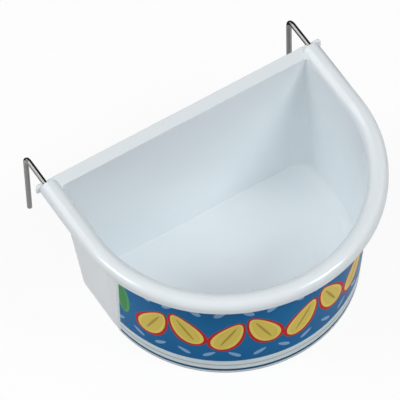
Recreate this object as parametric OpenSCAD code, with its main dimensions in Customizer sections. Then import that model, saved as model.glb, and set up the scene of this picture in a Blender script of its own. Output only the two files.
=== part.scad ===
// Half-round seed cup that hangs on cage wires by two bent wire hooks.
// The origin is on the underside of the floor, on the axis of the round front.
// +Z is up, +Y points to the flat back and the hooks, and X runs across.

/* [Cup] */
// Outside width across the rim
rim_w = 120; // [104:1:150]
// Length of each straight side, from the round front to the back face
side_run = 31.5; // [28:0.5:45]
// Height of the cup, from the underside to the top of the rim
cup_h = 60; // [45:1:80]
// Thickness of the walls
wall_t = 2; // [1.4:0.1:2.6]
// Thickness of the floor
floor_t = 2.4; // [1.6:0.1:4]
// Lean of the front and side walls, in degrees, inwards going down
side_lean = 4.5; // [2:0.5:7]
// Lean of the back wall, in degrees, inwards going down
back_lean = 5; // [2:0.5:10]
// Inside radius of the two rear corners, at the underside
corner_low_r = 6; // [4:0.5:10]
// Inside radius of the two rear corners, at the ledge
corner_high_r = 1; // [0.8:0.1:3]
// Outside radius of the two rear corners, at the underside
outer_low_r = 4.5; // [3:0.5:8]
// Outside radius of the two rear corners, at the ledge
outer_high_r = 3; // [2:0.5:6]

/* [Rim] */
// Width of the rolled rim, from its outer lip to the inside of the wall
rim_band = 7.5; // [6.8:0.1:9]
// Height of the rim, from its top to the lower edge of the lip
rim_h = 4.7; // [4.4:0.1:6]
// Thickness of the rolled rim
rim_t = 1.5; // [1.1:0.1:1.8]
// Radius of the rim's outer top edge
rim_outer_r = 3; // [1.5:0.1:3.6]
// Radius of the rim's inner top edge
rim_inner_r = 3; // [1.5:0.1:3.2]

/* [Back ledge] */
// Depth of the flat ledge, from the back face to the inside of the back wall
ledge_w = 5.3; // [4.5:0.1:8]
// Drop from the top of the rim to the top of the ledge
ledge_drop = 1.5; // [0.6:0.1:1.6]
// Thickness of the ledge
ledge_t = 2; // [1.4:0.1:2.8]
// Depth of the end lugs, which close the rim behind its two ends
lug_t = 1.6; // [1.2:0.1:2.4]
// How far each end lug stands out past the lip
lug_out = 1.3; // [0.3:0.1:1.5]
// Radius of the lugs' outer rear corners
lug_r = 1.2; // [0.6:0.1:1.2]

/* [Hooks] */
// Diameter of the hook wire
wire_d = 2; // [1.6:0.1:2.2]
// Distance from the back face to the middle of the hook's leg
hook_reach = 13.5; // [9:0.5:20]
// Height of the hook, from the middle of its arm to the end of its leg
hook_drop = 32.5; // [20:0.5:45]
// Radius of the hook's bend, at the middle of the wire
bend_r = 3; // [2:0.1:5]
// Distance from the outer face of the lip to the middle of the wire
wire_in = 3; // [2.6:0.1:3.8]
// Length of wire that is held in the rim
socket_l = 18; // [12:0.5:20]
// Thickness of the rim above the wire
socket_cover = 1.8; // [1.2:0.1:1.8]
// Radial clearance of the wire in its socket
socket_clearance = 0.05; // [0.02:0.01:0.1]
// Radial clearance of the wire in the slot through the lug
slot_clearance = 0.25; // [0.15:0.05:0.4]
// Gap between the inner end of the wire and the end of its socket
socket_end_gap = 0.3; // [0.1:0.1:0.6]
// Chamfer at both ends of the wire
wire_chamfer = 0.3; // [0.1:0.1:0.5]

/* [Label] */
// Height of the label's lower edge above the underside
label_low = 0.9; // [0.5:0.1:4]
// Gap between the label's top edge and the lower edge of the lip
label_top_gap = 2.4; // [1:0.1:12]
// Half of the angle that the label's lower edge covers round the front
label_half_angle = 84; // [50:1:86]
// Lean of the label's straight-cut ends, in degrees
label_end_lean = 6; // [0:0.5:8]
// Thickness of the label
label_t = 0.15; // [0.1:0.05:0.3]
// Thickness of the adhesive behind the label
label_gap = 0.05; // [0.02:0.01:0.1]

/* [Hidden] */
$fn = 144;

// One overrun serves all cuts
over = 0.5;
cut_over = 2 * over;
// How far the corner cones reach past the walls, so that they meet them at a clear edge
blend = 0.03;
rim_r = rim_w / 2;
wire_r = wire_d / 2;

// The inner rounding of the rim, and the height at which the leaning wall runs into it
round_x = rim_r - rim_band + rim_inner_r;
round_z = cup_h - rim_inner_r;
round_start = round_z + rim_inner_r * sin(side_lean);

// Inside and outside of the leaning front and side walls, as half widths
wall_across = wall_t / cos(side_lean);
function half_in(z) = round_x - rim_inner_r / cos(side_lean) - (round_z - z) * tan(side_lean);
function half_out(z) = half_in(z) + wall_across;

// Inside and outside of the leaning back wall
ledge_top = cup_h - ledge_drop;
back_across = wall_t / cos(back_lean);
function back_in(z) = side_run - ledge_w - (ledge_top - z) * tan(back_lean);
function back_out(z) = back_in(z) + back_across;

// Rim, its hollow and its solid ends
rim_low = cup_h - rim_h;
mouth_z = cup_h + over;
rim_end = side_run - lug_t;
hollow_end = rim_end - socket_l - rim_t;
corner_start = back_in(ledge_top) - corner_high_r / cos(back_lean);

// Hook wire
wire_x = rim_r - wire_in;
wire_z = cup_h - socket_cover - wire_r;
arm_start = rim_end - socket_l + socket_end_gap;
leg_y = side_run + hook_reach;
leg_end = wire_z - hook_drop;

// Label
label_high = rim_low - label_top_gap;

// Slab with a trapezoid front view and a leaning back, from one height to another
module leaning_block(half_low, half_high, back_low, back_high, h) {
    intersection() {
        translate([0, back_high + over, 0])
            rotate([90, 0, 0])
                linear_extrude(back_high + over)
                    polygon([[-half_low, 0], [half_low, 0], [half_high, h], [-half_high, h]]);
        translate([-half_high - over, 0, 0])
            rotate([90, 0, 90])
                linear_extrude(2 * (half_high + over))
                    polygon([[0, 0], [back_low, 0], [back_high, h], [0, h]]);
    }
}

// What rounding takes off one rear corner: all that lies outside a cone that meets both walls
module corner_cut(half_low, half_high, back_low, back_high, h, r_low, r_high) {
    x_low = half_low - r_low / cos(side_lean);
    x_high = half_high - r_high / cos(side_lean);
    y_low = back_low - r_low / cos(back_lean);
    y_high = back_high - r_high / cos(back_lean);
    slope_x = (x_high - x_low) / h;
    slope_y = (y_high - y_low) / h;
    slant = sqrt((x_high - x_low) ^ 2 + (y_high - y_low) ^ 2);
    post_l = sqrt(slant ^ 2 + h ^ 2);
    flare = asin((r_low - r_high) / post_l);
    gain = tan(flare) * cut_over;
    far_x = half_high + over;
    far_y = back_high + over;
    difference() {
        intersection() {
            translate([0, far_y, 0])
                rotate([90, 0, 0])
                    linear_extrude(far_y)
                        polygon([
                            [x_low - slope_x * over, -over],
                            [far_x, -over],
                            [far_x, h + over],
                            [x_high + slope_x * over, h + over]
                        ]);
            rotate([90, 0, 90])
                linear_extrude(far_x)
                    polygon([
                        [y_low - slope_y * over, -over],
                        [far_y, -over],
                        [far_y, h + over],
                        [y_high + slope_y * over, h + over]
                    ]);
        }
        translate([x_low, y_low, 0])
            rotate([0, atan2(slant, h), atan2(y_high - y_low, x_high - x_low)])
                translate([0, 0, -cut_over])
                    cylinder(
                        h = post_l + 2 * cut_over,
                        r1 = r_low / cos(flare) + gain + blend,
                        r2 = r_high / cos(flare) - gain + blend
                    );
    }
}

// Solid D with leaning walls: round in front, flat behind, with round rear corners
module leaning_d(half_low, half_high, back_low, back_high, h, r_low, r_high) {
    intersection() {
        cylinder(h = h, r1 = half_low, r2 = half_high);
        translate([-half_high - over, -half_high - over, 0])
            cube([2 * (half_high + over), half_high + over, h]);
    }
    difference() {
        leaning_block(half_low, half_high, back_low, back_high, h);
        corner_cut(half_low, half_high, back_low, back_high, h, r_low, r_high);
        mirror([1, 0, 0])
            corner_cut(half_low, half_high, back_low, back_high, h, r_low, r_high);
    }
}

// Carries a section round the U of the rim; the section's x runs outwards from the axis
module round_front() {
    rotate([0, 0, 180])
        rotate_extrude(angle = 180)
            children();
}

module straight_side(from_y, to_y) {
    translate([0, to_y, 0])
        rotate([90, 0, 0])
            linear_extrude(to_y - from_y)
                children();
}

module both_sides(from_y, to_y) {
    straight_side(from_y, to_y)
        children();
    mirror([1, 0, 0])
        straight_side(from_y, to_y)
            children();
}

// Section of the rolled rim, with its outer top edge rounded
module rim_section() {
    translate([rim_r - rim_band, rim_low])
        square([rim_band, rim_h - rim_outer_r]);
    translate([rim_r - rim_band, rim_low])
        square([rim_band - rim_outer_r, rim_h]);
    translate([rim_r - rim_outer_r, cup_h - rim_outer_r])
        circle(r = rim_outer_r);
}

// Section of the hollow between the lip and the wall
module hollow_section() {
    translate([rim_r - rim_band + wall_t / 2, rim_low - over])
        square([rim_band - rim_t - wall_t / 2, rim_h - rim_t + over]);
}

// What the rounding takes off the rim's inner top edge, above a given height
module inner_edge_section(from_z) {
    difference() {
        translate([rim_r - rim_band - over, from_z])
            square([rim_inner_r + over, cup_h + over - from_z]);
        translate([round_x, round_z])
            circle(r = rim_inner_r);
    }
}

// Flat ledge along the top of the back wall; it also fills the two corners of the mouth
module ledge() {
    half = rim_r - rim_band / 2;
    translate([-half, corner_start, ledge_top - ledge_t])
        cube([2 * half, side_run - corner_start, ledge_t]);
}

// Lug that closes the rear end of the rim and carries the wire's slot
module end_lug() {
    lug_x = rim_r + lug_out;
    lug_in = rim_r - rim_band;
    translate([0, 0, rim_low])
        linear_extrude(ledge_top - rim_low) {
            translate([lug_in, rim_end])
                square([lug_x - lug_r - lug_in, lug_t]);
            translate([lug_in, rim_end])
                square([lug_x - lug_in, lug_t - lug_r]);
            translate([lug_x - lug_r, side_run - lug_r])
                circle(r = lug_r);
        }
}

// Socket for one wire: a blind bore in the rim's solid end, behind an open slot
module wire_socket() {
    slot_r = wire_r + slot_clearance;
    translate([wire_x, rim_end + over, wire_z])
        rotate([90, 0, 0])
            cylinder(h = socket_l + over, r = wire_r + socket_clearance);
    translate([wire_x, side_run + over, wire_z])
        rotate([90, 0, 0])
            cylinder(h = lug_t + over, r = slot_r);
    translate([wire_x - slot_r, rim_end, wire_z])
        cube([2 * slot_r, lug_t + over, cup_h - wire_z]);
}

// Rounds the inner corner of the rim's end, where it stands above the ledge
module rim_end_round() {
    end_r = rim_inner_r;
    translate([0, 0, ledge_top])
        linear_extrude(ledge_drop + over)
            difference() {
                translate([rim_r - rim_band - over, rim_end - end_r])
                    square([end_r + over, end_r + over]);
                translate([rim_r - rim_band + end_r, rim_end - end_r])
                    circle(r = end_r);
            }
}

module cup() {
    color([0.87, 0.91, 0.94])
        difference() {
            union() {
                leaning_d(
                    half_out(0), half_out(ledge_top), back_out(0), back_out(ledge_top),
                    ledge_top, outer_low_r, outer_high_r
                );
                difference() {
                    union() {
                        round_front()
                            rim_section();
                        both_sides(0, rim_end)
                            rim_section();
                    }
                    round_front()
                        hollow_section();
                    both_sides(0, hollow_end)
                        hollow_section();
                }
                ledge();
                end_lug();
                mirror([1, 0, 0])
                    end_lug();
            }
            translate([0, 0, floor_t])
                leaning_d(
                    half_in(floor_t), half_in(mouth_z), back_in(floor_t), back_in(mouth_z),
                    mouth_z - floor_t, corner_low_r, corner_high_r
                );
            round_front()
                inner_edge_section(round_start);
            both_sides(0, corner_start)
                inner_edge_section(round_start);
            both_sides(corner_start, rim_end)
                inner_edge_section(ledge_top);
            rim_end_round();
            mirror([1, 0, 0])
                rim_end_round();
            wire_socket();
            mirror([1, 0, 0])
                wire_socket();
        }
}

// Bent wire: straight arm in the socket, a quarter bend and a straight leg
module hook() {
    arm_end = leg_y - bend_r;
    translate([wire_x, arm_start, wire_z])
        rotate([-90, 0, 0])
            cylinder(h = wire_chamfer, r1 = wire_r - wire_chamfer, r2 = wire_r);
    translate([wire_x, arm_start + wire_chamfer, wire_z])
        rotate([-90, 0, 0])
            cylinder(h = arm_end - arm_start - wire_chamfer, r = wire_r);
    translate([wire_x, arm_end, wire_z - bend_r])
        rotate([90, 0, 90])
            rotate_extrude(angle = 90)
                translate([bend_r, 0])
                    circle(r = wire_r);
    translate([wire_x, leg_y, leg_end + wire_chamfer])
        cylinder(h = hook_drop - bend_r - wire_chamfer, r = wire_r);
    translate([wire_x, leg_y, leg_end])
        cylinder(h = wire_chamfer, r1 = wire_r - wire_chamfer, r2 = wire_r);
}

module hook_right() {
    color("silver")
        hook();
}

module hook_left() {
    color("silver")
        mirror([1, 0, 0])
            hook();
}

// What a straight cut takes off one end of the label
module label_end_cut() {
    turn = label_half_angle - 90;
    reach = half_out(label_high) + label_t + label_gap + over;
    rotate([0, 0, turn])
        translate([0, 0, label_low])
            rotate([label_end_lean, 0, 0])
                translate([0, 0, -cup_h])
                    cube([reach, reach, 3 * cup_h]);
}

module front_label() {
    stand_off = label_gap / cos(side_lean);
    through = label_t / cos(side_lean);
    color([0.12, 0.36, 0.62])
        difference() {
            rotate([0, 0, 270 - label_half_angle])
                rotate_extrude(angle = 2 * label_half_angle)
                    polygon([
                        [half_out(label_low) + stand_off, label_low],
                        [half_out(label_low) + stand_off + through, label_low],
                        [half_out(label_high) + stand_off + through, label_high],
                        [half_out(label_high) + stand_off, label_high]
                    ]);
            label_end_cut();
            mirror([1, 0, 0])
                label_end_cut();
        }
}

cup();
hook_left();
hook_right();
front_label();
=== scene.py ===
import math

import bmesh
import bpy
from mathutils import Matrix, Vector


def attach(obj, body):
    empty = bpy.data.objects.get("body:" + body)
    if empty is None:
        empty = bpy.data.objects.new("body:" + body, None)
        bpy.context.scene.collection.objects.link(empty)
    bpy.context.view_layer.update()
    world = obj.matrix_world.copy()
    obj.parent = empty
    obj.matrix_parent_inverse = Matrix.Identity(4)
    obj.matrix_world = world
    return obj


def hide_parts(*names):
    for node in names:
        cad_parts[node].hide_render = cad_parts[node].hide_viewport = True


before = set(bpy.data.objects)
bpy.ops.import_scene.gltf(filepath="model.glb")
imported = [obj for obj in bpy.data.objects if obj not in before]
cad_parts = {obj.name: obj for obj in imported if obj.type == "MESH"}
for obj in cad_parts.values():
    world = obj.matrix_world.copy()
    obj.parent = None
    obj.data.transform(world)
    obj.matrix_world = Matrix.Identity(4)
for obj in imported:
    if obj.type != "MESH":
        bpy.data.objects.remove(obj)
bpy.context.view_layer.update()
MM = 0.001


# The cup is one piece of polystyrene, moulded in one shot: floor, leaning walls,
# rolled rim, rear ledge and the two lugs that close the rim's ends.
# Here its outer solids are joined first, and then the hollows are cut.

RIM_R = 60 * MM
SIDE_RUN = 31.5 * MM
CUP_H = 60 * MM
WALL_T = 2 * MM
FLOOR_T = 2.4 * MM
SIDE_LEAN = math.radians(4.5)
BACK_LEAN = math.radians(5)
INNER_LOW_R = 6 * MM
INNER_HIGH_R = 1 * MM
OUTER_LOW_R = 4.5 * MM
OUTER_HIGH_R = 3 * MM

RIM_BAND = 7.5 * MM
RIM_LOW = CUP_H - 4.7 * MM
RIM_T = 1.5 * MM
RIM_ROUND = 3 * MM
LEDGE_W = 5.3 * MM
LEDGE_TOP = CUP_H - 1.5 * MM
LEDGE_T = 2 * MM
LEDGE_LOW = LEDGE_TOP - LEDGE_T
LUG_IN = RIM_R - RIM_BAND + 1.5 * MM
LUG_T = 1.6 * MM
LUG_OUT = 1.3 * MM
LUG_R = 1.2 * MM

WIRE_R = 1 * MM
WIRE_X = RIM_R - 3 * MM
WIRE_Z = CUP_H - 2.8 * MM
SOCKET_L = 18 * MM
SOCKET_CLEAR = 0.05 * MM
SLOT_CLEAR = 0.25 * MM
RIM_END = SIDE_RUN - LUG_T
HOLLOW_END = RIM_END - SOCKET_L - RIM_T
CORNER_START = SIDE_RUN - LEDGE_W - INNER_HIGH_R / math.cos(BACK_LEAN)

FOOT_ROUND = 1 * MM
SIDE_FILLET = 4 * MM
BACK_FILLET = 0.3 * MM
LEDGE_ROUND = 0.25 * MM
EDGE_ROUND = 0.4 * MM

# Allowances: how far the body reaches up into the ledge, how far a cutting solid stands
# past what it cuts, what keeps the faces of two solids out of one plane, which points
# are on one level, and which become one point
BODY_IN_LEDGE = 0.3 * MM
OVER = 0.5 * MM
NICK = 0.02 * MM
LEVEL = 0.002 * MM
WELD = 0.004 * MM

FRONT_STEPS = 96
ROUND_STEPS = 8
SLOT_STEPS = 12
FOOT_STEPS = 4
FILLET_STEPS = 6
MOUTH_STEPS = 4
LUG_STEPS = 5
EDGE_STEPS = 3
WIRE_SIDES = 32
SHARP_FROM = math.radians(35)
LARGE_FACES_FIRST = 80


def half_in(z):
    """Half the inner width of the cup at a height; half_out gives the outer one."""
    reach = RIM_R - RIM_BAND + RIM_ROUND - RIM_ROUND / math.cos(SIDE_LEAN)
    return reach - (CUP_H - RIM_ROUND - z) * math.tan(SIDE_LEAN)


def half_out(z):
    return half_in(z) + WALL_T / math.cos(SIDE_LEAN)


def back_in(z):
    """Where the back wall's inner face is at a height; back_out gives its outer face."""
    return SIDE_RUN - LEDGE_W - (LEDGE_TOP - z) * math.tan(BACK_LEAN)


def back_out(z):
    return back_in(z) + WALL_T / math.cos(BACK_LEAN)


def only(kind, geom):
    return [g for g in geom if isinstance(g, kind)]


def rounded(bm, geom, radius, steps, affect="EDGES"):
    bmesh.ops.bevel(bm, geom=geom, offset=radius, offset_type="OFFSET", segments=steps,
                    profile=0.5, affect=affect, material=-1)


def pushed(bm, faces, vec):
    """Extrudes faces by a vector, and gives the faces at the new end."""
    run = bmesh.ops.extrude_face_region(bm, geom=faces)["geom"]
    bmesh.ops.translate(bm, verts=only(bmesh.types.BMVert, run), vec=vec)
    return only(bmesh.types.BMFace, run)


def swept(bm, face, cent, axis, angle, steps):
    """Turns a section about an axis, and gives the face at the new end."""
    ring = [face] + list(face.edges) + list(face.verts)
    last = bmesh.ops.spin(bm, geom=ring, cent=cent, axis=axis, angle=angle, steps=steps,
                          use_merge=False, use_duplicate=False)["geom_last"]
    return only(bmesh.types.BMFace, last)


def half_round_level(bm, half, back, corner_r, z):
    """One level of the half-round plan: round front, straight sides, flat back, and
    rounded rear corners."""
    left = bm.verts.new((-half, 0, z))
    bmesh.ops.spin(bm, geom=[left], cent=(0, 0, z), axis=(0, 0, 1), angle=math.pi,
                   steps=FRONT_STEPS, use_merge=False, use_duplicate=False)
    level = [v for v in bm.verts if abs(v.co.z - z) < LEVEL]
    level.sort(key=lambda v: math.atan2(v.co.y - NICK, v.co.x))
    rear = [bm.verts.new((half, back, z)), bm.verts.new((-half, back, z))]
    for e in [e for e in bm.edges if e.verts[0] in level]:
        bm.edges.remove(e)
    bm.faces.new(level + rear)
    rounded(bm, rear, corner_r, ROUND_STEPS, "VERTICES")
    return [f for f in bm.faces if all(abs(v.co.z - z) < LEVEL for v in f.verts)][0]


def half_round_solid(levels):
    """A solid whose plan changes from level to level. Each level gives the half width,
    the back, the corner radius and the height."""
    bm = bmesh.new()
    faces = [half_round_level(bm, *level) for level in levels]
    for low, high in zip(faces, faces[1:]):
        bmesh.ops.bridge_loops(bm, edges=list(low.edges) + list(high.edges))
    bmesh.ops.delete(bm, geom=faces[1:-1], context="FACES_ONLY")
    bmesh.ops.recalc_face_normals(bm, faces=bm.faces)
    return bm


def round_the_u(corners, rounds, rear_y, end_round=0):
    """A section carried along the left side, round the front and back along the right
    side. The rounds say which of its corners are rounded, and how much."""
    bm = bmesh.new()
    bm.faces.new([bm.verts.new((-x, rear_y, z)) for x, z in corners])
    bm.verts.ensure_lookup_table()
    for corner, radius in [(bm.verts[i], radius) for i, radius in rounds]:
        rounded(bm, [corner], radius, ROUND_STEPS, "VERTICES")
    bm.faces.ensure_lookup_table()
    end = pushed(bm, [bm.faces[0]], (0, -rear_y, 0))
    end = swept(bm, end[0], (0, 0, 0), (0, 0, 1), math.pi, FRONT_STEPS)
    pushed(bm, end, (0, rear_y, 0))
    bmesh.ops.delete(bm, geom=end, context="FACES_ONLY")
    if end_round:
        tops = [e for e in bm.edges
                if all(v.co.y > rear_y - NICK and v.co.z > LEDGE_TOP for v in e.verts)]
        rounded(bm, tops, end_round, EDGE_STEPS)
    bmesh.ops.recalc_face_normals(bm, faces=bm.faces)
    return bm


def rod(radius, from_y, to_y, x, z):
    """A round rod along Y."""
    bm = bmesh.new()
    bmesh.ops.create_cone(bm, cap_ends=True, segments=WIRE_SIDES, radius1=radius,
                          radius2=radius, depth=to_y - from_y)
    bmesh.ops.rotate(bm, verts=bm.verts, cent=(0, 0, 0),
                     matrix=Matrix.Rotation(math.radians(90), 3, "X"))
    bmesh.ops.translate(bm, verts=bm.verts, vec=(x, (from_y + to_y) / 2, z))
    return bm


def u_slot(half, from_y, to_y, x, z, top):
    """A slot along Y with a round bottom and an open top."""
    bm = bmesh.new()
    low = [bm.verts.new((x + side * half, from_y, z - half)) for side in (-1, 1)]
    high = [bm.verts.new((x + side * half, from_y, top)) for side in (1, -1)]
    bm.faces.new(low + high)
    rounded(bm, low, half - NICK, SLOT_STEPS, "VERTICES")
    pushed(bm, list(bm.faces), (0, to_y - from_y, 0))
    bmesh.ops.recalc_face_normals(bm, faces=bm.faces)
    return bm


def mirrored(bm):
    """The same solid and its mirror image on the other side, in one mesh."""
    whole = list(bm.verts) + list(bm.edges) + list(bm.faces)
    image = bmesh.ops.duplicate(bm, geom=whole)["geom"]
    bmesh.ops.scale(bm, vec=(-1, 1, 1), verts=only(bmesh.types.BMVert, image))
    bmesh.ops.recalc_face_normals(bm, faces=bm.faces)
    return bm


def as_object(bm, name):
    mesh = bpy.data.meshes.new(name)
    bm.to_mesh(mesh)
    bm.free()
    piece = bpy.data.objects.new(name, mesh)
    bpy.context.scene.collection.objects.link(piece)
    return piece


def in_order(bm):
    """The same mesh with its points, its faces and each face's first corner in a fixed
    order, because a boolean gives them in another order from run to run."""
    fixed = bmesh.new()
    points = {v: fixed.verts.new(v.co) for v in sorted(bm.verts, key=lambda v: tuple(v.co))}
    fixed.verts.index_update()
    rings = []
    for f in bm.faces:
        ring = [points[v] for v in f.verts]
        first = ring.index(min(ring, key=lambda v: v.index))
        rings.append(ring[first:] + ring[:first])
    for ring in sorted(rings, key=lambda ring: [v.index for v in ring]):
        fixed.faces.new(ring)
    bm.free()
    return fixed


def joined(piece, steps):
    """Applies a list of (operation, solid) to a piece, one after the other."""
    tools = []
    for i, (operation, solid) in enumerate(steps):
        tool = as_object(solid, f"tool_{i}")
        mod = piece.modifiers.new(f"step_{i}", "BOOLEAN")
        mod.operation, mod.solver, mod.object = operation, "EXACT", tool
        tools.append(tool)
    bpy.context.view_layer.update()
    result = piece.evaluated_get(bpy.context.evaluated_depsgraph_get())
    done = bpy.data.meshes.new_from_object(result)
    piece.modifiers.clear()
    bm = bmesh.new()
    bm.from_mesh(done)
    bm = in_order(bm)
    bmesh.ops.remove_doubles(bm, verts=bm.verts, dist=WELD)
    bmesh.ops.dissolve_degenerate(bm, edges=bm.edges, dist=WELD)
    bmesh.ops.recalc_face_normals(bm, faces=bm.faces)
    bm = in_order(bm)
    bm.to_mesh(done)
    bm.free()
    piece.data = done
    for tool in tools:
        bpy.data.objects.remove(tool)
    return piece


def smooth_shaded(piece):
    """Smooth shading that keeps the corners crisp."""
    for p in piece.data.polygons:
        p.use_smooth = True
    piece.data.set_sharp_from_angle(angle=SHARP_FROM)
    return piece


def evenly_shaded(piece):
    """Smooth shading that also follows the large faces, for edges with small rounds."""
    smooth_shaded(piece)
    mod = piece.modifiers.new("even_normals", "WEIGHTED_NORMAL")
    mod.keep_sharp = True
    mod.weight = LARGE_FACES_FIRST
    return piece


def quarter(steps):
    """Sines and cosines in equal steps from 0 to 90 degrees."""
    turns = [math.radians(90 * step / steps) for step in range(steps + 1)]
    return [(math.sin(turn), math.cos(turn)) for turn in turns]


# Outer body, with a small radius round its foot
body_levels = []
for sine, cosine in quarter(FOOT_STEPS):
    inset = FOOT_ROUND * (1 - sine)
    z = FOOT_ROUND * (1 - cosine)
    body_levels.append((half_out(z) - inset, back_out(z) - inset, OUTER_LOW_R - inset, z))
body_top = LEDGE_LOW + BODY_IN_LEDGE
body_levels.append((half_out(body_top), back_out(body_top), OUTER_HIGH_R, body_top))
cup = as_object(half_round_solid(body_levels), "seed_cup")

# Rolled rim: its section is rounded on top and has a lip that hangs free
lean_round = RIM_ROUND / math.tan((math.pi / 2 - SIDE_LEAN) / 2)
rim = round_the_u(
    [(half_in(RIM_LOW) - NICK, RIM_LOW), (RIM_R, RIM_LOW),
     (RIM_R, CUP_H), (half_in(CUP_H) - NICK, CUP_H)],
    [(1, EDGE_ROUND), (2, RIM_ROUND), (3, lean_round)], RIM_END + NICK, EDGE_ROUND)
hollow_in = half_out(CUP_H) + NICK
hollow_out = RIM_R - RIM_T
hollow_low = RIM_LOW - OVER
hollow_top = CUP_H - RIM_T - 2 * NICK
hollow = round_the_u(
    [(hollow_in, hollow_low), (hollow_out, hollow_low),
     (hollow_out, hollow_top), (hollow_in, hollow_top)], [], HOLLOW_END)
rim_piece = joined(as_object(rim, "rim"), [("DIFFERENCE", hollow)])
hollow_rim = bmesh.new()
hollow_rim.from_mesh(rim_piece.data)
bpy.data.objects.remove(rim_piece)

# Rear ledge and the two lugs at its ends, moulded with it
ledge = bmesh.new()
xs = [-RIM_R - LUG_OUT, -LUG_IN, LUG_IN, RIM_R + LUG_OUT]
front = [ledge.verts.new((x, RIM_END, LEDGE_TOP)) for x in xs]
rear = [ledge.verts.new((x, SIDE_RUN, LEDGE_TOP)) for x in xs]
inner = [ledge.verts.new((x, CORNER_START, LEDGE_TOP)) for x in xs[1:3]]
ledge.faces.new([front[0], front[1], rear[1], rear[0]])
ledge.faces.new([inner[0], inner[1], front[2], rear[2], rear[1], front[1]])
ledge.faces.new([front[2], front[3], rear[3], rear[2]])
under = pushed(ledge, list(ledge.faces), (0, 0, -LEDGE_T))
under = [f for f in under if abs(f.calc_center_median().x) > LUG_IN]
pushed(ledge, under, (0, 0, RIM_LOW + NICK - LEDGE_LOW))
bmesh.ops.delete(ledge, geom=under, context="FACES_ONLY")
bmesh.ops.recalc_face_normals(ledge, faces=ledge.faces)

# The lugs' upright rear corners are rounded first, and then the ledge's rear and end
# edges, apart from the lower one along the back wall
posts = [e for e in ledge.edges
         if all(abs(v.co.x) > RIM_R and v.co.y > SIDE_RUN - NICK for v in e.verts)
         and abs(e.verts[0].co.z - e.verts[1].co.z) > NICK]
rounded(ledge, posts, LUG_R, LUG_STEPS)
ends = [e for e in ledge.edges
        if e.is_manifold and e.calc_face_angle() > math.radians(60)
        and all(v.co.y > SIDE_RUN - NICK or abs(v.co.x) > RIM_R for v in e.verts)
        and abs(e.verts[0].co.z - e.verts[1].co.z) < NICK
        and abs(e.verts[0].co.z - LEDGE_LOW) > NICK]
rounded(ledge, ends, EDGE_ROUND, EDGE_STEPS)
bmesh.ops.recalc_face_normals(ledge, faces=ledge.faces)

# The cavity: a fillet round the floor, leaning walls, and a small radius where the back
# wall meets the ledge
cavity_levels = []
for sine, cosine in quarter(FILLET_STEPS):
    z = FLOOR_T + SIDE_FILLET * (1 - cosine)
    side_in = SIDE_FILLET * (1 - sine)
    rear_in = BACK_FILLET * (1 - sine)
    cavity_levels.append((half_in(z) - side_in, back_in(z) - rear_in,
                          INNER_LOW_R - side_in / 2, z))
for sine, cosine in quarter(MOUTH_STEPS):
    z = LEDGE_TOP - LEDGE_ROUND + (LEDGE_ROUND + NICK) * sine
    mouth_back = back_in(LEDGE_TOP) + LEDGE_ROUND * (1 - cosine)
    cavity_levels.append((half_in(z), mouth_back, INNER_HIGH_R, z))
z = CUP_H + OVER
cavity_levels.append((half_in(z), back_in(LEDGE_TOP) + LEDGE_ROUND, INNER_HIGH_R, z))
cavity = half_round_solid(cavity_levels)

# Rounded inner corner where each end of the rim stands above the ledge
end_in = RIM_R - RIM_BAND
end_cut = bmesh.new()
corners = [end_cut.verts.new((x, y, LEDGE_TOP - NICK)) for x, y in (
    (end_in - OVER, RIM_END - RIM_ROUND), (end_in, RIM_END - RIM_ROUND), (end_in, RIM_END),
    (end_in + RIM_ROUND, RIM_END), (end_in + RIM_ROUND, RIM_END + OVER),
    (end_in - OVER, RIM_END + OVER))]
end_cut.faces.new(corners)
rounded(end_cut, [corners[2]], RIM_ROUND, ROUND_STEPS, "VERTICES")
pushed(end_cut, list(end_cut.faces), (0, 0, CUP_H - LEDGE_TOP + OVER))
end_cut = mirrored(end_cut)

# Sockets for the two wires: a blind bore, and behind it a slot that is open at the top
bores = mirrored(rod(WIRE_R + SOCKET_CLEAR, RIM_END - SOCKET_L, SIDE_RUN + OVER,
                     WIRE_X, WIRE_Z))
slots = mirrored(u_slot(WIRE_R + SLOT_CLEAR, RIM_END - NICK, SIDE_RUN + OVER,
                        WIRE_X, WIRE_Z, CUP_H + OVER))

cup = joined(cup, [("UNION", hollow_rim), ("UNION", ledge), ("DIFFERENCE", cavity),
                   ("DIFFERENCE", end_cut), ("DIFFERENCE", bores), ("DIFFERENCE", slots)])
evenly_shaded(cup)


class Shade:
    """One value in a finish. Sums written on it become Math nodes."""

    def __init__(self, nodes, socket):
        self.nodes, self.socket = nodes, socket

    def math(self, operation, *others):
        return self.nodes.number(operation, self, *others)

    def __add__(self, other):
        return self.nodes.number("ADD", self, other)

    def __radd__(self, other):
        return self.nodes.number("ADD", other, self)

    def __sub__(self, other):
        return self.nodes.number("SUBTRACT", self, other)

    def __rsub__(self, other):
        return self.nodes.number("SUBTRACT", other, self)

    def __mul__(self, other):
        return self.nodes.number("MULTIPLY", self, other)

    def __rmul__(self, other):
        return self.nodes.number("MULTIPLY", other, self)

    def __truediv__(self, other):
        return self.nodes.number("DIVIDE", self, other)

    def __rtruediv__(self, other):
        return self.nodes.number("DIVIDE", other, self)

    def __lt__(self, other):
        return self.nodes.number("LESS_THAN", self, other)

    def __gt__(self, other):
        return self.nodes.number("GREATER_THAN", self, other)


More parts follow.
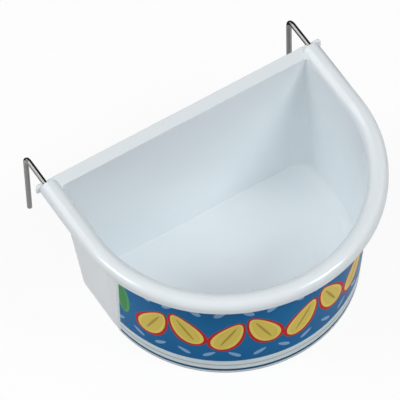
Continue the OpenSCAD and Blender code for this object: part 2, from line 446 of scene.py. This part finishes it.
class Nodes:
    """A node tree, and the one method that adds nodes to it."""

    def __init__(self, tree):
        self.tree = tree
        tree.nodes.clear()

    def put(self, target, value):
        if isinstance(value, Shade):
            self.tree.links.new(value.socket, target)
        else:
            target.default_value = value

    def node(self, kind, output=0, settings=None, **inputs):
        """Adds a node. Its sockets are named, with _ for a space, or numbered as i0, i1."""
        n = self.tree.nodes.new(kind)
        for name, value in (settings or {}).items():
            setattr(n, name, value)
        for name, value in inputs.items():
            key = int(name[1:]) if name[1:].isdigit() else name.replace("_", " ")
            self.put(n.inputs[key], value)
        return Shade(self, n.outputs[output])

    def number(self, operation, *values):
        sockets = {f"i{i}": value for i, value in enumerate(values)}
        return self.node("ShaderNodeMath", 0, {"operation": operation}, **sockets)

    def blend(self, mask, low, high):
        return self.node("ShaderNodeMix", 2, {"data_type": "RGBA"}, i0=mask, i6=low, i7=high)


GRAIN_DEPTH = 0.02 * MM


class Finish(Nodes):
    """A material for one kind of surface. Numbers that are the same all over are given
    by name, and set on the shader itself."""

    def __init__(self, name, **shader):
        self.material = bpy.data.materials.new(name)
        self.material.use_nodes = True
        super().__init__(self.material.node_tree)
        self.out = self.tree.nodes.new("ShaderNodeOutputMaterial")
        self.shader = self.tree.nodes.new("ShaderNodeBsdfPrincipled")
        self.tree.links.new(self.shader.outputs[0], self.out.inputs[0])
        self.place = self.node("ShaderNodeTexCoord", "Object")
        self.feed(**shader)

    def feed(self, **shader):
        for name, value in shader.items():
            self.put(self.shader.inputs[name.replace("_", " ")], value)

    def grain(self, scale, detail=2.0, place=None):
        return self.node("ShaderNodeTexNoise", 0, {}, Vector=place or self.place,
                         Scale=scale, Detail=detail)

    def bump(self, strength, height):
        return self.node("ShaderNodeBump", 0, {}, Strength=strength, Distance=GRAIN_DEPTH,
                         Height=height)

    def away_from(self, spot):
        return self.node("ShaderNodeVectorMath", "Value", {"operation": "DISTANCE"},
                         i0=self.place, i1=spot)

    def dress(self, piece):
        piece.data.materials.clear()
        piece.data.materials.append(self.material)


# Cool white polystyrene: glossy, a little uneven from the mould, with a gate mark and
# its ring in the middle of the floor, and a few rubbed spots from handling
SHADED_WHITE = (0.815, 0.875, 0.908, 1)
CLEAR_WHITE = (0.858, 0.90, 0.933, 1)
MILKY_WHITE = (0.81, 0.884, 0.917, 1)
RUBBED_GREY = (0.62, 0.68, 0.72, 1)
GATE_AT = (0, -2.5 * MM, FLOOR_T)
GATE_R = 0.6 * MM
GATE_RING = 1.05 * MM, 1.3 * MM
RUBBED_SPOTS = (((13.7, 11.1, 2.4), 0.8), ((-9.7, 24.3, 36.4), 0.8),
                ((-1.8, 22.8, 19.4), 0.6), ((19, -21, 2.4), 0.5))

plastic = Finish("cup_plastic", IOR=1.55)
cloud = plastic.grain(scale=34.0, detail=3.0)
milky = plastic.grain(scale=150.0, detail=4.0)
fine = plastic.grain(scale=1100.0)
gate = plastic.away_from(GATE_AT)
rubbed = (gate < GATE_R) + (gate < GATE_RING[1]) * (gate > GATE_RING[0])
for spot, radius in RUBBED_SPOTS:
    rubbed = rubbed + (plastic.away_from([v * MM for v in spot]) < radius * MM)
plain = plastic.blend(cloud, SHADED_WHITE, CLEAR_WHITE)
toned = plastic.blend(milky * 0.35, plain, MILKY_WHITE)
plastic.feed(Base_Color=plastic.blend(rubbed * 0.35, toned, RUBBED_GREY),
             Roughness=cloud * 0.06 + fine * 0.05 + rubbed * 0.25 + 0.10,
             Normal=plastic.bump(0.35, fine * 0.6 + cloud * 3 + rubbed * 2))
plastic.dress(cup)
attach(cup, "cup_body")
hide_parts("cup")


# Each hook is 2 mm steel wire, bent once and nickel plated. Its arm is pushed
# into the blind socket in the rim's end, where it can turn; the leg hangs down.

HOOK_REACH = 13.5 * MM
HOOK_DROP = 32.5 * MM
BEND_R = 3 * MM
BEND_STEPS = 16
WIRE_CHAMFER = 0.3 * MM
CHAMFER_STEPS = 2
SOCKET_GAP = 0.3 * MM
ARM_START = RIM_END - SOCKET_L + SOCKET_GAP
LEG_Y = SIDE_RUN + HOOK_REACH

NICKEL_GREY = (0.21, 0.21, 0.205, 1)
NICKEL_BRIGHT = (0.27, 0.27, 0.262, 1)
DRAWN_ALONG = (2600.0, 300.0, 300.0)

nickel = Finish("hook_wire", Metallic=1.0)
stretched = nickel.node("ShaderNodeVectorMath", 0, {"operation": "MULTIPLY"},
                        i0=nickel.place, i1=DRAWN_ALONG)
drawn = nickel.grain(scale=1.0, place=stretched)
spots = nickel.grain(scale=420.0, detail=3.0)
nickel.feed(Base_Color=nickel.blend(spots, NICKEL_GREY, NICKEL_BRIGHT),
            Roughness=drawn * 0.10 + spots * 0.08 + 0.08,
            Normal=nickel.bump(0.2, drawn))


def bent_wire(side):
    """One hook: the arm from inside its socket, the quarter bend, and the leg."""
    bm = bmesh.new()
    bmesh.ops.create_circle(bm, cap_ends=True, segments=WIRE_SIDES, radius=WIRE_R)
    bmesh.ops.rotate(bm, verts=bm.verts, cent=(0, 0, 0),
                     matrix=Matrix.Rotation(math.radians(90), 3, "X"))
    bmesh.ops.translate(bm, verts=bm.verts, vec=(side * WIRE_X, ARM_START, WIRE_Z))
    end = pushed(bm, list(bm.faces), (0, LEG_Y - BEND_R - ARM_START, 0))
    end = swept(bm, end[0], (side * WIRE_X, LEG_Y - BEND_R, WIRE_Z - BEND_R), (-1, 0, 0),
                math.radians(90), BEND_STEPS)
    pushed(bm, end, (0, 0, BEND_R - HOOK_DROP))
    bmesh.ops.delete(bm, geom=end, context="FACES_ONLY")
    tips = [e for f in bm.faces if len(f.verts) > 4 for e in f.edges]
    rounded(bm, tips, WIRE_CHAMFER, CHAMFER_STEPS)
    bmesh.ops.recalc_face_normals(bm, faces=bm.faces)
    return bm


for name, side, body in (("left", -1, "left_hook"), ("right", 1, "right_hook")):
    hook = evenly_shaded(as_object(bent_wire(side), f"wire_hook_{name}"))
    nickel.dress(hook)
    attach(hook, body)
    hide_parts(f"hook_{name}")


# A strip of printed film, glued round the front wall. Its ends are cut straight,
# so they lean against the wall's cone. The print is a plain pattern of seeds.

LABEL_LOW = 0.9 * MM
LABEL_HIGH = RIM_LOW - 2.4 * MM
LABEL_HALF = math.radians(84)
LABEL_LEAN = math.radians(6)
LABEL_T = 0.15 * MM
GLUE_T = 0.05 * MM
LABEL_STEPS = 144
END_MARGIN = 1.3 * MM

strip = bmesh.new()
film_in = GLUE_T / math.cos(SIDE_LEAN)
film_out = film_in + LABEL_T / math.cos(SIDE_LEAN)
strip.faces.new([strip.verts.new((r, 0, z)) for r, z in (
    (half_out(LABEL_LOW) + film_in, LABEL_LOW), (half_out(LABEL_LOW) + film_out, LABEL_LOW),
    (half_out(LABEL_HIGH) + film_out, LABEL_HIGH),
    (half_out(LABEL_HIGH) + film_in, LABEL_HIGH))])
bmesh.ops.rotate(strip, verts=strip.verts, cent=(0, 0, 0),
                 matrix=Matrix.Rotation(-math.pi / 2 - LABEL_HALF, 3, "Z"))
bmesh.ops.spin(strip, geom=list(strip.faces) + list(strip.edges) + list(strip.verts),
               cent=(0, 0, 0), axis=(0, 0, 1), angle=2 * LABEL_HALF, steps=LABEL_STEPS,
               use_merge=False, use_duplicate=False)
bmesh.ops.recalc_face_normals(strip, faces=strip.faces)
end_planes = {}
for side in (-1, 1):
    turn = (Matrix.Rotation(side * (LABEL_HALF - math.pi / 2), 3, "Z")
            @ Matrix.Rotation(LABEL_LEAN, 3, "X"))
    end_planes[side] = turn @ Vector((0, 1, 0))
    whole = list(strip.verts) + list(strip.edges) + list(strip.faces)
    cut = bmesh.ops.bisect_plane(strip, geom=whole, plane_co=(0, 0, LABEL_LOW),
                                 plane_no=end_planes[side], clear_outer=True)
    bmesh.ops.holes_fill(strip, edges=only(bmesh.types.BMEdge, cut["geom_cut"]))
label = smooth_shaded(as_object(strip, "front_label_strip"))

# The print is measured in mm: along the strip round the wall, and upwards from the foot
WALL_MM = 49.5
BORDER_TOP = 9.8
GREY_LINE = 6.2, 6.9
DARK_LINE = 2.3, 3.8
FOOT_SHADOW_TOP = 1.3
MIDDLE = 12, 50, 16
SEED_PITCH = 13.6
SEED_ROW_HALF = 4.5 * SEED_PITCH
SEED_HEIGHT = 29.5
SEED_STEP_UP = 1.2
SEED_STEP_ASIDE = 0.7
SEED_LEAN = 0.42
SEED_SIZE, SEED_TAPER = (5.0, 10.4), 0.32
CREASE_SIZE = 0.5, 7.0
RED_TO, GOLD_TO, OCHRE_TO = 0.6, -0.5, -1.6
LEAF_AT, LEAF_SIZE, LEAF_EDGE = (66.4, 33), (3.1, 10.5), -1.1
# For each row of small grains: pitch, shift, height, lean, and half of its width and length
GRAIN_ROWS = (9.0, 2.0, 15, 0.9, (1.0, 2.8)), (9.0, -2.5, 45.5, 0.7, (1.3, 3.2))
GRAIN_TAPER = 0.2

WHITE = (0.83, 0.94, 0.98, 1)
FIELD_BLUE = (0.003, 0.13, 0.36, 1)
FIELD_LIGHT = (0.014, 0.19, 0.47, 1)
MIDDLE_BLUE = (0.02, 0.25, 0.55, 1)
GRAIN_BLUE = (0.27, 0.50, 0.78, 1)
SEED_RED = (0.66, 0.02, 0.02, 1)
SEED_GOLD = (0.98, 0.80, 0.18, 1)
SEED_OCHRE = (0.88, 0.69, 0.14, 1)
CREASE_BROWN = (0.42, 0.26, 0.03, 1)
LEAF_GREEN = (0.10, 0.45, 0.13, 1)
LEAF_DARK = (0.03, 0.24, 0.08, 1)
LINE_GREY = (0.25, 0.27, 0.30, 1)
LINE_DARK = (0.01, 0.10, 0.22, 1)
# Painted shadow where the cup stands on the floor, greying the label's lowest edge
FOOT_SHADOW_GREY = (0.10, 0.16, 0.22, 1)

film = Finish("label_film", IOR=1.45, Specular_IOR_Level=0.02)
across, back_way, height = (
    film.node("ShaderNodeSeparateXYZ", i, {}, Vector=film.place) * 1000 for i in range(3))
round_wall = across.math("ARCTAN2", back_way * -1) * WALL_MM
off_middle = round_wall.math("ABSOLUTE")


def row(pitch, shift):
    """Repeats a motif along the strip: the place in its own cell, and -1 or 1 by turns."""
    cell = (round_wall + shift) / pitch
    number = cell.math("FLOOR")
    turns = number.math("FLOORED_MODULO", 2) * 2 - 1
    return (cell - number - 0.5) * pitch, turns


def seed(along, up, lean, turns, size, taper=0.0):
    """How far outside the edge of a leaning seed shape a point is, in mm."""
    half_wide, half_long = size
    sine = turns * math.sin(lean)
    wide = along * math.cos(lean) + up * sine
    long = up * math.cos(lean) - along * sine
    wide = wide / (1 - long * (taper / half_long))
    one, two = wide / half_wide, long / half_long
    reach = (one * one + two * two).math("SQRT")
    slope = (one * one / half_wide ** 2 + two * two / half_long ** 2).math("SQRT")
    return reach * (reach - 1) / slope


# Blue field, lighter along its middle, with small grains above and below
field = film.blend(film.grain(scale=60.0, detail=3.0), FIELD_BLUE, FIELD_LIGHT)
low, high, soft = MIDDLE
middle = ((height - low) / soft).math("SMOOTH_MIN", (high - height) / soft, 0.4)
field = film.blend(middle.math("MINIMUM", 1) * 0.25, field, MIDDLE_BLUE)
for pitch, shift, at, lean, size in GRAIN_ROWS:
    along, turns = row(pitch, shift)
    grains = seed(along, height - at, lean, turns, size, GRAIN_TAPER)
    field = film.blend(grains < 0, field, GRAIN_BLUE)

# Gold seeds that lean left and right by turns, with a red outline and a crease
along, turns = row(SEED_PITCH, SEED_ROW_HALF)
along = along + turns * SEED_STEP_ASIDE
up = height - SEED_HEIGHT - turns * SEED_STEP_UP
kernel = seed(along, up, SEED_LEAN, turns, SEED_SIZE, SEED_TAPER)
crease = seed(along, up, SEED_LEAN, turns, CREASE_SIZE)
on_row = off_middle < SEED_ROW_HALF
field = film.blend((kernel < RED_TO) * on_row, field, SEED_RED)
gold = film.blend(kernel < OCHRE_TO, SEED_GOLD, SEED_OCHRE)
field = film.blend((kernel < GOLD_TO) * on_row, field, gold)
field = film.blend((crease < 0) * on_row * 0.7, field, CREASE_BROWN)

# A green leaf near each end
leaf = seed(off_middle - LEAF_AT[0], height - LEAF_AT[1], 0.0, round_wall * 0, LEAF_SIZE)
field = film.blend(leaf < 0, field, LEAF_GREEN)
field = film.blend((leaf < LEAF_EDGE) * 0.5, field, LEAF_DARK)

# Bare white lower border with one grey and one dark line, a painted shadow along the foot, and
# bare white ends
border = film.blend((height > GREY_LINE[0]) * (height < GREY_LINE[1]) * 0.55, WHITE, LINE_GREY)
border = film.blend((height > DARK_LINE[0]) * (height < DARK_LINE[1]), border, LINE_DARK)
# Painted shadow: the film is greyed below this height, along the foot of the cup
border = film.blend((height < FOOT_SHADOW_TOP) * 0.6, border, FOOT_SHADOW_GREY)
printed = film.blend(height > BORDER_TOP, border, field)
for side in (-1, 1):
    towards_end = film.node("ShaderNodeVectorMath", "Value", {"operation": "DOT_PRODUCT"},
                            i0=film.place, i1=end_planes[side])
    margin_from = LABEL_LOW * end_planes[side].z - END_MARGIN
    printed = film.blend(towards_end > margin_from, printed, WHITE)
film.feed(Base_Color=printed, Roughness=film.grain(scale=300.0) * 0.10 + 0.20,
          Normal=film.bump(0.25, film.grain(scale=260.0, detail=3.0)))
film.dress(label)
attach(label, "cup_body")
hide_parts("front_label")


# A white paper sweep under soft light, with a white surround. Paper and surround are
# lighter for the camera and for reflections than they are as a source of light.

WHITE_IN_PHOTO = 0.9
WHITE_IN_GLOSS = 0.5
SKY = 0.1
PAPER_HALF = 4
PAPER_LIT = (0.56, 0.56, 0.56, 1)
PAPER_SEEN = (0.95, 0.95, 0.95, 1)
PURE_WHITE = (1, 1, 1, 1)


def seen_by(nodes, *rays):
    """1 where one of these kinds of ray meets the background."""
    return sum(nodes.node("ShaderNodeLightPath", f"Is {ray} Ray")
               for ray in rays).math("MINIMUM", 1)


floor_bm = bmesh.new()
bmesh.ops.create_grid(floor_bm, x_segments=1, y_segments=1, size=PAPER_HALF)
bmesh.ops.translate(floor_bm, verts=floor_bm.verts, vec=(0, 0, -NICK))
floor = as_object(floor_bm, "studio_floor")
paper = Finish("studio_paper", Roughness=0.9)
paper.feed(Base_Color=paper.blend(seen_by(paper, "Camera", "Glossy", "Transmission"),
                                  PAPER_LIT, PAPER_SEEN))
white_share = (seen_by(paper, "Camera") * WHITE_IN_PHOTO
               + seen_by(paper, "Glossy", "Transmission") * WHITE_IN_GLOSS)
plain_white = paper.node("ShaderNodeEmission", 0, {}, Color=PURE_WHITE, Strength=1.0)
paper.put(paper.out.inputs[0], paper.node(
    "ShaderNodeMixShader", 0, {}, i0=white_share, i1=Shade(paper, paper.shader.outputs[0]),
    i2=plain_white))
paper.dress(floor)

world = bpy.data.worlds.new("studio")
bpy.context.scene.world = world
world.use_nodes = True
sky = Nodes(world.node_tree)
sky_seen = seen_by(sky, "Camera", "Glossy", "Transmission")
surround = sky.node("ShaderNodeBackground", 0, {}, Color=PURE_WHITE,
                    Strength=sky_seen * (1 - SKY) + SKY)
sky.put(sky.tree.nodes.new("ShaderNodeOutputWorld").inputs[0], surround)

# A soft box on each side of the camera, and three large screens: behind the camera,
# overhead and behind the cup. Each has its direction, distance, size in metres and watts.
# Only the soft boxes show in reflections.
LAMPS = (("soft_box_left", (-0.686, 0.184, 0.707), 2.4, 0.75, 15.5),
         ("soft_box_right", (0.40, -0.535, 0.743), 2.4, 0.75, 18.5),
         ("front_screen", (-0.29, -0.48, 0.83), 3.0, 2.6, 25.5),
         ("top_screen", (0, 0, 1), 3.0, 2.6, 6.5),
         ("rear_screen", (0.1, 0.85, 0.5), 3.0, 2.6, 8.5))


def area_lamp(name, watts, length, width):
    lamp = bpy.data.lights.new(name, "AREA")
    lamp.shape, lamp.size, lamp.size_y, lamp.energy = "RECTANGLE", length, width, watts
    box = bpy.data.objects.new(name, lamp)
    bpy.context.scene.collection.objects.link(box)
    return box


for name, direction, away, size, watts in LAMPS:
    box = area_lamp(name, watts, size, size)
    box.visible_glossy = name.startswith("soft_box")
    aim = Vector(direction).normalized()
    box.matrix_world = (Matrix.Translation(aim * away)
                        @ aim.to_track_quat("Z", "Y").to_matrix().to_4x4())

# A long strip lamp above and behind, which draws the bright line along the wires.
# It lies along the line between its two ends and faces the cup.
STRIP_ENDS = Vector((0.15, 0.96, 1.74)), Vector((-1.53, 0.96, 0.85))
STRIP_WATTS, STRIP_L, STRIP_W = 3.0, 1.9, 0.2
strip_lamp = area_lamp("strip_lamp", STRIP_WATTS, STRIP_L, STRIP_W)
strip_at = (STRIP_ENDS[0] + STRIP_ENDS[1]) / 2
strip_z = strip_at.normalized()
strip_y = strip_z.cross(STRIP_ENDS[0] - STRIP_ENDS[1]).normalized()
strip_turn = Matrix((strip_y.cross(strip_z), strip_y, strip_z)).transposed()
strip_lamp.matrix_world = Matrix.Translation(strip_at) @ strip_turn.to_4x4()

# A black card behind the set, flat on the floor and then upright, which only shows as
# the dark line along the wires. Each part has the radius and height of its two long
# edges, and the angle where it ends.
CARD_FROM = math.radians(26)
CARD_NEAR, CARD_FAR, CARD_LIFT, CARD_TOP = 0.075, 0.9, 0.0005, 1.56
CARD_STEPS = 24
CARD_BLACK = (0.01, 0.01, 0.01, 1)
card_bm = bmesh.new()
for edges, to in ((((CARD_NEAR, CARD_LIFT), (CARD_FAR, CARD_LIFT)), math.radians(130)),
                  (((CARD_FAR, CARD_LIFT), (CARD_FAR, CARD_TOP)), math.radians(90))):
    line = [card_bm.verts.new((r * math.cos(CARD_FROM), r * math.sin(CARD_FROM), z))
            for r, z in edges]
    bmesh.ops.spin(card_bm, geom=line + [card_bm.edges.new(line)], cent=(0, 0, 0),
                   axis=(0, 0, 1), angle=to - CARD_FROM, steps=CARD_STEPS,
                   use_merge=False, use_duplicate=False)
card = as_object(card_bm, "studio_card")
Finish("black_card", Base_Color=CARD_BLACK, Roughness=1.0).dress(card)
card.visible_camera = card.visible_diffuse = False
card.visible_shadow = card.visible_transmission = False

# The camera stands where the photographer stood
CAMERA_AT = Vector((-0.51516, -0.85698, 1.52088))
RIGHT = Vector((0.8474361, -0.5305836, -0.0182501))
UP = Vector((0.4485211, 0.6971293, 0.5593207))
camera = bpy.data.objects.new("camera", bpy.data.cameras.new("camera"))
bpy.context.scene.collection.objects.link(camera)
camera_turn = Matrix((RIGHT, UP, RIGHT.cross(UP))).transposed()
camera.matrix_world = Matrix.Translation(CAMERA_AT) @ camera_turn.to_4x4()
camera.data.sensor_width = 36
camera.data.lens = 439.1
camera.data.clip_end = 20
bpy.context.scene.camera = camera
bpy.context.scene.view_settings.view_transform = "Standard"
